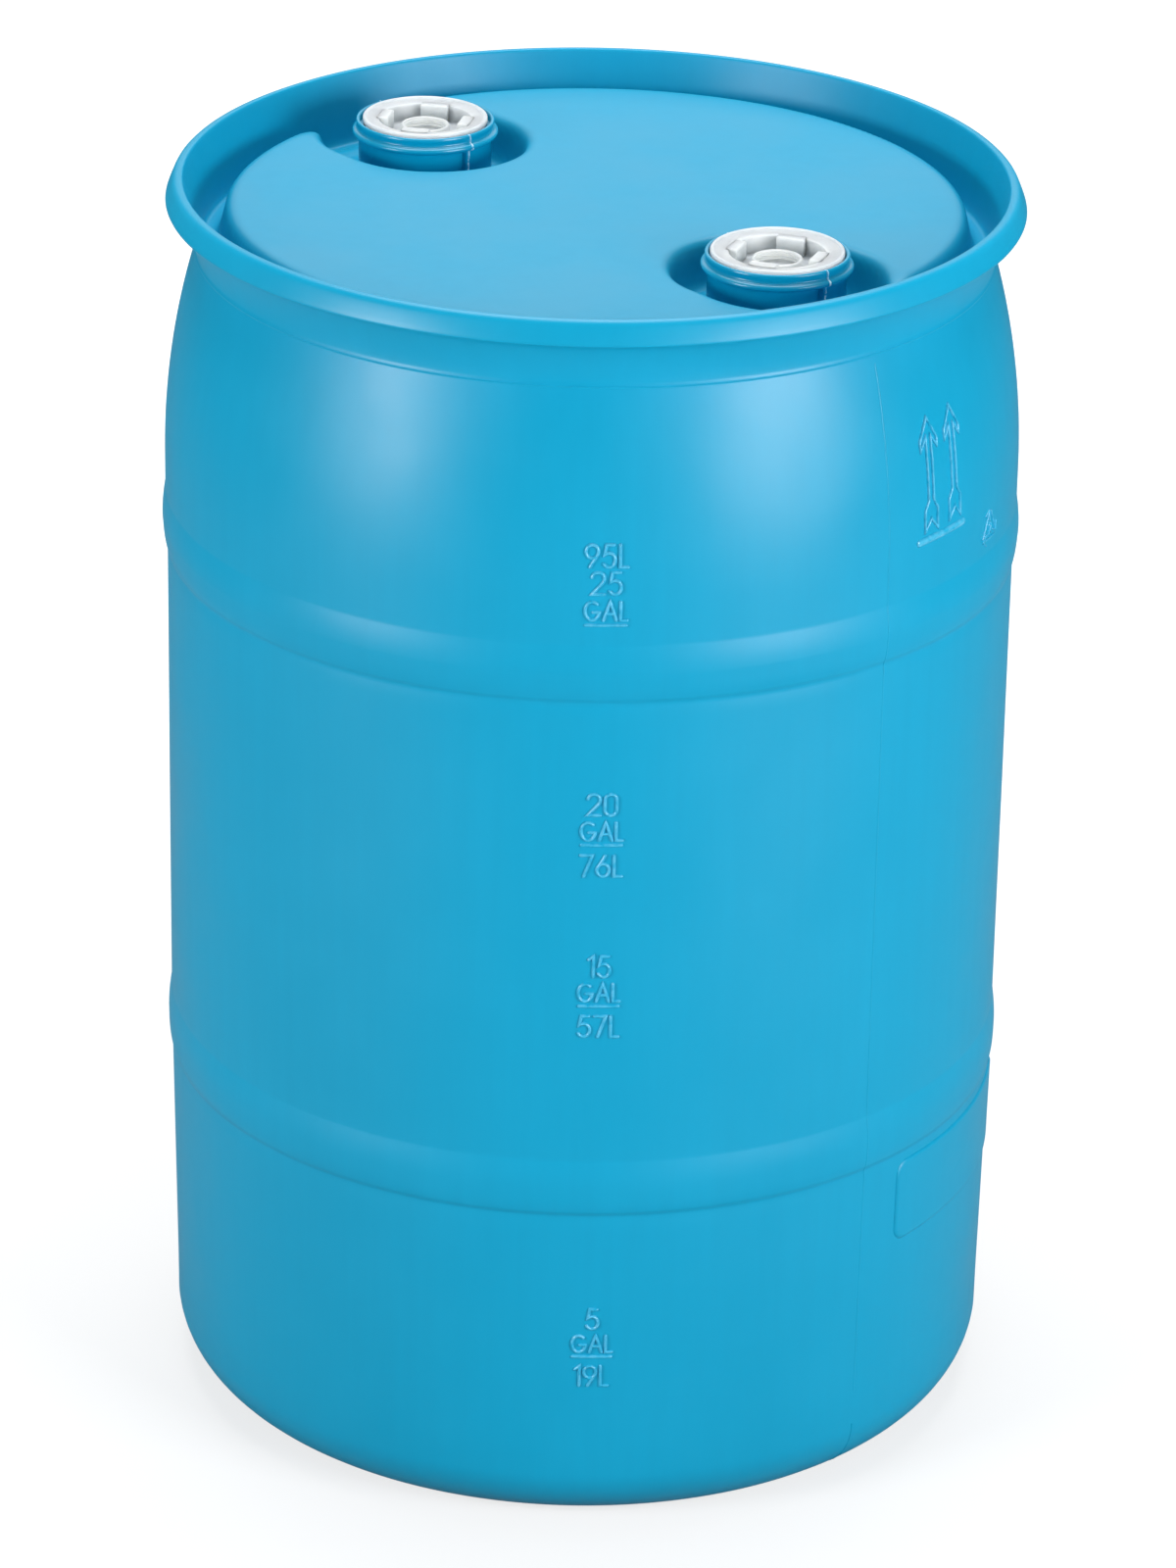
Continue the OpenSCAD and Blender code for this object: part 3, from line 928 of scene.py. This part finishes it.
def blow_moulded_hdpe():
    """Pigmented polyethylene blown against a sand-blasted mould: an even colour with faint
    vertical flow streaks, a satin sheen that breaks up over slow unevenness, and fine grain."""
    finish = bpy.context.scene.drum_finish
    material, tree = new_material("blow_moulded_hdpe")
    place = add_node(tree, "ShaderNodeTexCoord")
    stretch = add_node(tree, "ShaderNodeMapping", {"Scale": (1, 1, 0.06)},
                       {"Vector": (place, "Object")})
    streaks = add_node(tree, "ShaderNodeTexNoise",
                       {"Scale": per_metre(9), "Detail": 4, "Roughness": 0.6},
                       {"Vector": (stretch, 0)})
    clouds = add_node(tree, "ShaderNodeTexNoise",
                      {"Scale": per_metre(70), "Detail": 3, "Roughness": 0.5},
                      {"Vector": (place, "Object")})
    blend = add_node(tree, "ShaderNodeMath", {"operation": "MULTIPLY"},
                     {0: (streaks, "Fac"), 1: (clouds, "Fac")})
    shade = add_node(tree, "ShaderNodeValToRGB",
                     {"Stops": ((0.12, tinted(finish.shell, 0.98)),
                                (0.42, tinted(finish.shell, 1.02)))},
                     {"Fac": (blend, 0)})
    gloss = add_node(tree, "ShaderNodeMapRange",
                     {"From Min": 0.3, "From Max": 0.7, "To Min": finish.shell_gloss - 0.04,
                      "To Max": finish.shell_gloss + 0.05}, {"Value": (clouds, "Fac")})
    # The mould's grain is about 0.3 mm; it is drawn at 0.9 mm so that it shows
    grain = add_node(tree, "ShaderNodeTexNoise",
                     {"Scale": per_metre(0.9), "Detail": 2, "Roughness": 0.6},
                     {"Vector": (place, "Object")})
    peel = add_node(tree, "ShaderNodeTexNoise",
                    {"Scale": per_metre(14), "Detail": 2, "Roughness": 0.4},
                    {"Vector": (place, "Object")})
    slow = add_node(tree, "ShaderNodeBump", {"Strength": 0.35, "Distance": 0.12 * MM},
                    {"Height": (peel, "Fac")})
    fine = add_node(tree, "ShaderNodeBump", {"Strength": 0.3, "Distance": 0.05 * MM},
                    {"Height": (grain, "Fac"), "Normal": (slow, 0)})
    skin = add_node(tree, "ShaderNodeBsdfPrincipled",
                    {"IOR": 1.54, "Specular IOR Level": 0.3, "Subsurface Weight": 0.06,
                     "Subsurface Radius": (0.2, 0.8, 1.0), "Subsurface Scale": 3 * MM},
                    {"Base Color": (shade, 0), "Roughness": (gloss, 0), "Normal": (fine, 0)})
    add_node(tree, "ShaderNodeOutputMaterial", {}, {"Surface": (skin, 0)})
    return material


def calibrated_hdpe():
    """The shell's polyethylene on the necks, pressed smooth by the blow pin and its collar:
    thin bright lines run along the lip and the bead."""
    finish = bpy.context.scene.drum_finish
    material, tree = new_material("calibrated_hdpe")
    place = add_node(tree, "ShaderNodeTexCoord")
    clouds = add_node(tree, "ShaderNodeTexNoise", {"Scale": per_metre(6), "Detail": 2},
                      {"Vector": (place, "Object")})
    shade = add_node(tree, "ShaderNodeValToRGB",
                     {"Stops": ((0, tinted(finish.shell, 0.96)),
                                (1, tinted(finish.shell, 1.03)))},
                     {"Fac": (clouds, "Fac")})
    gloss = add_node(tree, "ShaderNodeMapRange", {"To Min": 0.2, "To Max": 0.26},
                     {"Value": (clouds, "Fac")})
    skin = add_node(tree, "ShaderNodeBsdfPrincipled", {"IOR": 1.54},
                    {"Base Color": (shade, 0), "Roughness": (gloss, 0)})
    add_node(tree, "ShaderNodeOutputMaterial", {}, {"Surface": (skin, 0)})
    return material


def painted_highlight_hdpe():
    """The shell's polyethylene on raised marks, glossier than the wall and painted paler as a
    painted highlight, so that the strokes read bright against the satin wall."""
    finish = bpy.context.scene.drum_finish
    material, tree = new_material("painted_highlight_hdpe")
    place = add_node(tree, "ShaderNodeTexCoord")
    painted_highlight_patches = add_node(tree, "ShaderNodeTexNoise", {"Scale": per_metre(4), "Detail": 3},
                    {"Vector": (place, "Object")})
    # Painted highlight: the strokes run, in random patches, from the wall's colour a tenth lighter
    # to a paler blue
    shade = add_node(tree, "ShaderNodeValToRGB",
                     {"Stops": ((0.3, tinted(finish.shell, 1.1)),
                                (0.7, tinted(finish.mark_painted_highlight, 1)))},
                     {"Fac": (painted_highlight_patches, "Fac")})
    gloss = add_node(tree, "ShaderNodeMapRange", {"To Min": 0.3, "To Max": 0.2},
                     {"Value": (painted_highlight_patches, "Fac")})
    skin = add_node(tree, "ShaderNodeBsdfPrincipled", {"IOR": 1.54},
                    {"Base Color": (shade, 0), "Roughness": (gloss, 0)})
    add_node(tree, "ShaderNodeOutputMaterial", {}, {"Surface": (skin, 0)})
    return material


def injection_moulded_hdpe():
    """Natural, unpigmented polyethylene from a polished tool: milky white with a blue tint painted
    on as light bounced from the drum, light bleeds through thin edges, with a soft sheen and faint
    flow clouds round the gate."""
    finish = bpy.context.scene.drum_finish
    material, tree = new_material("injection_moulded_hdpe")
    place = add_node(tree, "ShaderNodeTexCoord")
    clouds = add_node(tree, "ShaderNodeTexNoise",
                      {"Scale": per_metre(12), "Detail": 3, "Roughness": 0.55, "Distortion": 0.6},
                      {"Vector": (place, "Object")})
    # Painted bounce light: the plug's colour carries a blue tint for light from the blue drum; the
    # clouds vary it at random
    shade = add_node(tree, "ShaderNodeValToRGB",
                     {"Stops": ((0.3, tinted(finish.plug, 0.93)),
                                (0.7, tinted(finish.plug, 1.04)))},
                     {"Fac": (clouds, "Fac")})
    gloss = add_node(tree, "ShaderNodeMapRange", {"To Min": 0.3, "To Max": 0.42},
                     {"Value": (clouds, "Fac")})
    grain = add_node(tree, "ShaderNodeTexNoise", {"Scale": per_metre(0.7), "Detail": 2},
                     {"Vector": (place, "Object")})
    fine = add_node(tree, "ShaderNodeBump", {"Strength": 0.2, "Distance": 0.04 * MM},
                    {"Height": (grain, "Fac")})
    skin = add_node(tree, "ShaderNodeBsdfPrincipled",
                    {"IOR": 1.54, "Subsurface Weight": 0.85,
                     "Subsurface Radius": (1.0, 0.95, 0.85), "Subsurface Scale": 22 * MM},
                    {"Base Color": (shade, 0), "Roughness": (gloss, 0), "Normal": (fine, 0)})
    add_node(tree, "ShaderNodeOutputMaterial", {}, {"Surface": (skin, 0)})
    return material


def trimmed_hdpe():
    """Flash of the shell's polyethylene where a knife has cut it: thin, ragged and whitened."""
    finish = bpy.context.scene.drum_finish
    material, tree = new_material("trimmed_hdpe")
    place = add_node(tree, "ShaderNodeTexCoord")
    tears = add_node(tree, "ShaderNodeTexNoise", {"Scale": per_metre(2), "Detail": 3},
                     {"Vector": (place, "Object")})
    shade = add_node(tree, "ShaderNodeValToRGB",
                     {"Stops": ((0.35, tinted(finish.shell, 1.1)),
                                (0.5, tinted(finish.flash, 1)))},
                     {"Fac": (tears, "Fac")})
    rough = add_node(tree, "ShaderNodeBump", {"Strength": 0.5, "Distance": 0.1 * MM},
                     {"Height": (tears, "Fac")})
    skin = add_node(tree, "ShaderNodeBsdfPrincipled", {"Roughness": 0.5, "IOR": 1.54},
                    {"Base Color": (shade, 0), "Normal": (rough, 0)})
    add_node(tree, "ShaderNodeOutputMaterial", {}, {"Surface": (skin, 0)})
    return material


def moulded_epdm():
    """Black EPDM rubber from a compression mould: nearly matt, with a dusty bloom in patches."""
    finish = bpy.context.scene.drum_finish
    material, tree = new_material("moulded_epdm")
    place = add_node(tree, "ShaderNodeTexCoord")
    bloom = add_node(tree, "ShaderNodeTexNoise", {"Scale": per_metre(5), "Detail": 4},
                     {"Vector": (place, "Object")})
    shade = add_node(tree, "ShaderNodeValToRGB",
                     {"Stops": ((0, tinted(finish.gasket, 0.8)),
                                (1, tinted(finish.gasket, 2.2)))},
                     {"Fac": (bloom, "Fac")})
    grain = add_node(tree, "ShaderNodeTexNoise", {"Scale": per_metre(0.5), "Detail": 3},
                     {"Vector": (place, "Object")})
    fine = add_node(tree, "ShaderNodeBump", {"Strength": 0.5, "Distance": 0.05 * MM},
                    {"Height": (grain, "Fac")})
    skin = add_node(tree, "ShaderNodeBsdfPrincipled", {"Roughness": 0.72, "IOR": 1.52},
                    {"Base Color": (shade, 0), "Normal": (fine, 0)})
    add_node(tree, "ShaderNodeOutputMaterial", {}, {"Surface": (skin, 0)})
    return material


def painted_glow_floor():
    """White floor with a painted glow that only the camera sees, dimmer by the drum and full from
    1.3 m out to even out the lamps' falloff: bright enough to vanish into the background, while
    the drum's soft cast shadow still shows."""
    finish = bpy.context.scene.drum_finish
    material, tree = new_material("painted_glow_floor")
    place = add_node(tree, "ShaderNodeTexCoord")
    mottle = add_node(tree, "ShaderNodeTexNoise", {"Scale": per_metre(400), "Detail": 3},
                      {"Vector": (place, "Object")})
    shade = add_node(tree, "ShaderNodeValToRGB",
                     {"Stops": ((0, tinted(finish.floor, 0.27)),
                                (1, tinted(finish.floor, 0.29)))},
                     {"Fac": (mottle, "Fac")})
    away = add_node(tree, "ShaderNodeVectorMath", {"operation": "LENGTH"}, {0: (place, "Object")})
    # Painted glow: from the setting by the drum up to full glow 1.3 m away, multiplied by camera
    # rays only
    painted_glow_ramp = add_node(tree, "ShaderNodeMapRange",
                      {"From Min": 0.35, "From Max": 1.3, "To Min": finish.painted_glow_near_drum, "To Max": 1},
                      {"Value": (away, "Value")})
    path = add_node(tree, "ShaderNodeLightPath")
    glow = add_node(tree, "ShaderNodeMath", {"operation": "MULTIPLY"},
                    {0: (path, "Is Camera Ray"), 1: (painted_glow_ramp, 0)})
    skin = add_node(tree, "ShaderNodeBsdfPrincipled",
                    {"Roughness": 0.9, "Specular IOR Level": 0, "Emission Color": (1, 1, 1, 1)},
                    {"Base Color": (shade, 0), "Emission Strength": (glow, 0)})
    add_node(tree, "ShaderNodeOutputMaterial", {}, {"Surface": (skin, 0)})
    return material


@functools.cache
def material_of(maker):
    """The material that maker makes, made once."""
    return maker()


# Studio --------------------------------------------------------------------------------------

# Soft boxes: name, place, width, height, share of the key light's power
SOFT_BOXES = (("left_box", (-1.88, -1.38, 0.9), 0.8, 1.0, 1.1),
              ("right_box", (1.72, -1.54, 0.9), 1.15, 1.1, 1.45),
              ("top_box", (0.0, 0.5, 2.5), 1.7, 1.5, 1.2),
              ("back_box", (0.0, 1.9, 1.7), 2.6, 1.2, 0.25))
FLOOR_HALF = 12.0


def lay_floor():
    mesh = bpy.data.meshes.new("studio_floor")
    corners = [(x * FLOOR_HALF, y * FLOOR_HALF, 0)
               for x, y in ((-1, -1), (1, -1), (1, 1), (-1, 1))]
    mesh.from_pydata(corners, [], [(0, 1, 2, 3)])
    mesh.materials.append(material_of(painted_glow_floor))
    add_object("studio_floor", mesh)


def light_world(studio):
    """White to look at, but dimmer as a light, so that the soft boxes shape the drum."""
    world = bpy.data.worlds.new("studio_world")
    world.use_nodes = True
    tree = world.node_tree
    tree.nodes.clear()
    path = add_node(tree, "ShaderNodeLightPath")
    strength = add_node(tree, "ShaderNodeMapRange", {"To Min": studio.fill, "To Max": 1.0},
                        {"Value": (path, "Is Camera Ray")})
    white = add_node(tree, "ShaderNodeBackground", {"Color": (1, 1, 1, 1)},
                     {"Strength": (strength, 0)})
    add_node(tree, "ShaderNodeOutputWorld", {}, {"Surface": (white, 0)})
    bpy.context.scene.world = world


def hang_boxes(studio, middle):
    for name, place, width, height, share in SOFT_BOXES:
        lamp = bpy.data.lights.new(name, "AREA")
        lamp.shape = "RECTANGLE"
        lamp.size, lamp.size_y = width, height
        lamp.energy = studio.key * share
        box = add_object(name, lamp)
        box.location = place
        box.rotation_euler = (middle - Vector(place)).to_track_quat("-Z", "Y").to_euler()


def set_camera(studio, middle):
    lens = bpy.data.cameras.new("studio_camera")
    lens.lens = studio.lens
    lens.sensor_width = 36
    lens.shift_x, lens.shift_y = studio.shift_x, studio.shift_y
    lens.dof.use_dof = False
    back = Vector((0, -math.cos(studio.elevation), math.sin(studio.elevation)))
    aim = (-back).to_track_quat("-Z", "Y").to_matrix()
    camera = add_object("studio_camera", lens)
    camera.location = middle + back * studio.distance
    camera.rotation_euler = (aim @ Matrix.Rotation(studio.roll, 3, "Z")).to_euler()
    bpy.context.scene.camera = camera


# Operators -----------------------------------------------------------------------------------


class DRUM_OT_shell(bpy.types.Operator):
    """Build the moulded shell with its ribs, wells, necks, threads and L-ring"""
    bl_idname = "drum.shell"
    bl_label = "Moulded shell"

    def execute(self, context):
        scene = context.scene
        skin = shell_skin(scene.drum_shell, scene.drum_head)
        shell = skin.build("drum_shell", material_of(blow_moulded_hdpe), DRUM, "blue_hdpe",
                           sharp=math.radians(50))
        shell.data.materials.append(material_of(calibrated_hdpe))
        for face in shell.data.polygons:
            for centre in NECKS.values():
                if (face.center.xy - centre).length < 43 * MM and face.center.z > NECK_FOOT:
                    face.material_index = 1
        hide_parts(*SHELL_NODES)
        return {"FINISHED"}


class DRUM_OT_level_marks(bpy.types.Operator):
    """Raise the column of level figures and their lines"""
    bl_idname = "drum.level_marks"
    bl_label = "Level marks"

    def execute(self, context):
        scene = context.scene
        marks, skin = scene.drum_marks, Skin()
        place = marks_on_wall(scene.drum_shell, marks.level_azimuth)
        high, pen = marks.figure_height, (marks.stroke, marks.relief)
        for line_mm, gallons, litres, litres_above in LEVELS:
            line = line_mm * MM
            raise_stroke(skin, place, [(-11 * MM, line), (11 * MM, line)], *pen)
            write_figures(skin, place, "GAL", 0, line + 3 * MM, high * 0.84, *pen)
            write_figures(skin, place, gallons, 0, line + 18 * MM, high, *pen)
            base = line + 33.6 * MM if litres_above else line - 18.8 * MM
            write_figures(skin, place, litres, 0, base, high, *pen)
        skin.build("level_marks", material_of(painted_highlight_hdpe), DRUM, "blue_hdpe")
        return {"FINISHED"}


class DRUM_OT_handling_marks(bpy.types.Operator):
    """Raise the upright arrows with their ground line, the recycling loop and the plain pad"""
    bl_idname = "drum.handling_marks"
    bl_label = "Handling marks"

    def execute(self, context):
        shell, marks = context.scene.drum_shell, context.scene.drum_marks
        arrows, loop, pad = Skin(), Skin(), Skin()
        upright_arrows(arrows, marks_on_wall(shell, marks.arrows_azimuth), marks)
        arrows.build("upright_arrows", material_of(painted_highlight_hdpe), DRUM, "blue_hdpe")
        fine_pen = (marks.stroke * 0.55, marks.relief * 0.75)
        recycling_loop(loop, marks_on_wall(shell, marks.loop_azimuth), marks.loop_z,
                       12.5 * MM, fine_pen)
        loop.build("recycling_loop", material_of(painted_highlight_hdpe), DRUM, "blue_hdpe")
        raised_pad(pad, marks_on_wall(shell, marks.pad_azimuth), marks.relief)
        pad.build("marking_pad", material_of(blow_moulded_hdpe), DRUM, "blue_hdpe")
        return {"FINISHED"}


class DRUM_OT_mould_marks(bpy.types.Operator):
    """Add what the mould leaves: parting lines, flash on the necks and the pinched base seam"""
    bl_idname = "drum.mould_marks"
    bl_label = "Mould marks"

    def execute(self, context):
        scene = context.scene
        lines, flash = Skin(), Skin()
        for azimuth in PARTING_SIDES:
            parting_line(lines, scene.drum_shell, scene.drum_marks, azimuth)
            base_seam(lines, scene.drum_shell, azimuth)
            for side, centre in NECKS.items():
                neck_flash(flash, scene.drum_head, side, centre, azimuth)
        lines.build("parting_lines", material_of(blow_moulded_hdpe), DRUM, "blue_hdpe")
        flash.build("neck_flash", material_of(trimmed_hdpe), DRUM, "blue_hdpe")
        return {"FINISHED"}


class DRUM_OT_plugs(bpy.types.Operator):
    """Build the two screw plugs with their threads, lugs and knock-out collars"""
    bl_idname = "drum.plugs"
    bl_label = "Screw plugs"

    def execute(self, context):
        plugs = context.scene.drum_plugs
        for side, centre in NECKS.items():
            skin = plug_skin(plugs, side, centre)
            plug = skin.build(side + "_screw_plug", material_of(injection_moulded_hdpe),
                              side + "_plug_body", "natural_hdpe")
            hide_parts(side + "_plug")
        return {"FINISHED"}


class DRUM_OT_gaskets(bpy.types.Operator):
    """Build the two flat rubber gaskets under the plugs' flanges"""
    bl_idname = "drum.gaskets"
    bl_label = "Gaskets"

    def execute(self, context):
        for side, centre in NECKS.items():
            skin = Skin()
            skin.rings(turned(gasket_section(side), NECK_AROUND, centre))
            gasket = skin.build(side + "_flat_gasket", material_of(moulded_epdm),
                                side + "_gasket_body", "gasket_rubber")
            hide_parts(side + "_gasket")
        return {"FINISHED"}


class DRUM_OT_studio(bpy.types.Operator):
    """Lay the floor and set the lights and the camera"""
    bl_idname = "drum.studio"
    bl_label = "Studio"

    def execute(self, context):
        studio = context.scene.drum_studio
        middle = Vector((0, 0, CAD_HI.z / 2))
        context.scene.view_settings.view_transform = "Standard"
        lay_floor()
        light_world(studio)
        hang_boxes(studio, middle)
        set_camera(studio, middle)
        return {"FINISHED"}


class DRUM_PT_panel(bpy.types.Panel):
    """Buttons for each piece of the drum"""
    bl_label = "Closed-head drum"
    bl_idname = "DRUM_PT_panel"
    bl_space_type = "VIEW_3D"
    bl_region_type = "UI"
    bl_category = "Drum"

    def draw(self, context):
        for operator in OPERATORS:
            self.layout.operator(operator.bl_idname)
        for name, group in SETTINGS.items():
            box = self.layout.box()
            box.label(text=group.__doc__)
            for key in group.__annotations__:
                box.prop(getattr(context.scene, name), key)


OPERATORS = (DRUM_OT_studio, DRUM_OT_shell, DRUM_OT_level_marks, DRUM_OT_handling_marks,
             DRUM_OT_mould_marks, DRUM_OT_plugs, DRUM_OT_gaskets)
CLASSES = (*SETTINGS.values(), *OPERATORS, DRUM_PT_panel)


def register():
    for kind in CLASSES:
        bpy.utils.register_class(kind)
    for name, group in SETTINGS.items():
        setattr(bpy.types.Scene, name, PointerProperty(type=group))


def unregister():
    for name in SETTINGS:
        delattr(bpy.types.Scene, name)
    for kind in reversed(CLASSES):
        bpy.utils.unregister_class(kind)


def main():
    register()
    bpy.ops.drum.studio()
    bpy.ops.drum.shell()
    bpy.ops.drum.level_marks()
    bpy.ops.drum.handling_marks()
    bpy.ops.drum.mould_marks()
    bpy.ops.drum.plugs()
    bpy.ops.drum.gaskets()


if __name__ == "__main__":
    main()
